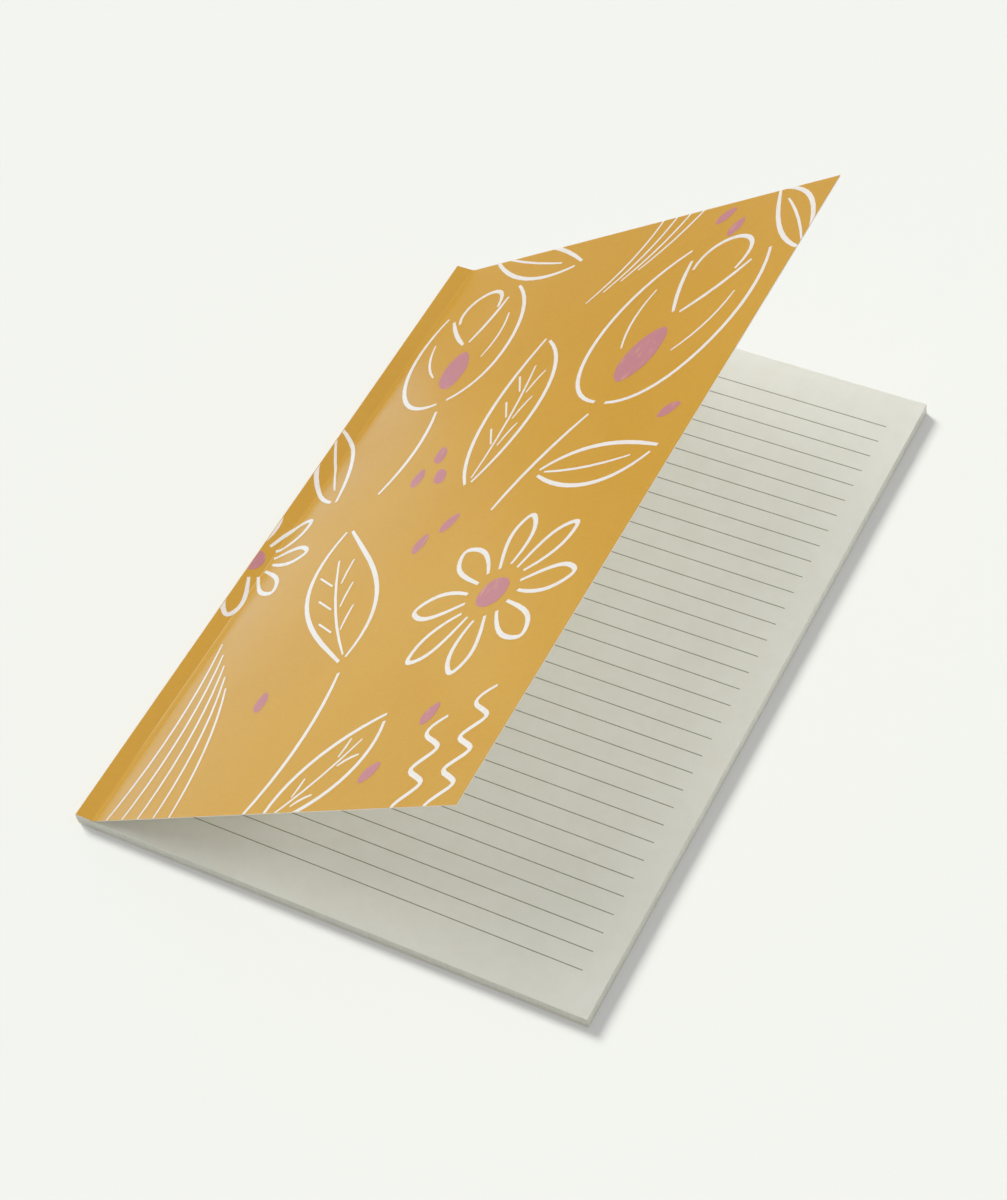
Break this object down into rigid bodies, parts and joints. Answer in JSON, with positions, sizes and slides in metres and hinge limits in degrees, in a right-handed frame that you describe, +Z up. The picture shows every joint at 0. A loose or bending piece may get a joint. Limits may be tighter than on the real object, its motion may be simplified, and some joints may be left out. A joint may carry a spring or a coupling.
{
  "type": "lined notebook",
  "caption": "Soft-cover A4 notebook with lined pages, a glued spine and scored card covers that open; mustard print with a white plant drawing.",
  "frame": {"origin": "middle of the underside of the back cover", "axes": "+X from the spine to the fore edge, +Y from the foot of the page to its head, +Z up from the surface it lies on"},
  "size_m": [0.21, 0.297, 0.1171],
  "materials": {
    "paper": "uncoated off-white writing paper",
    "ruling_ink": "thin printed grey line on paper",
    "glue": "cream hot-melt glue",
    "card": "white card, uncoated inside",
    "mustard_print": "printed mustard ground under a satin film",
    "white_print": "printed white line under a satin film",
    "mauve_print": "printed mauve patch under a satin film"
  },
  "bodies": {
    "book_block": {"page_block": "paper", "first_page_ruling": "ruling_ink", "last_page_ruling": "ruling_ink", "spine_glue": "glue", "cover_spine": "card", "spine_ground": "mustard_print", "hinge_drawing": "white_print", "hinge_accents": "mauve_print"},
    "front_cover": {"front_cover": "card", "front_ground": "mustard_print", "front_drawing": "white_print", "front_accents": "mauve_print"},
    "back_cover": {"back_cover": "card", "back_ground": "mustard_print"}
  },
  "joints": [
    {"name": "front_score", "type": "hinge", "parent": "book_block", "child": "front_cover", "pos_m": [-0.097, 0, 0.0059], "axis": [0, -1, 0], "range_deg": [-33.4, 146.6]},
    {"name": "back_score", "type": "hinge", "parent": "book_block", "child": "back_cover", "pos_m": [-0.097, 0, -0.0001], "axis": [0, 1, 0], "range_deg": [0, 180]}
  ]
}
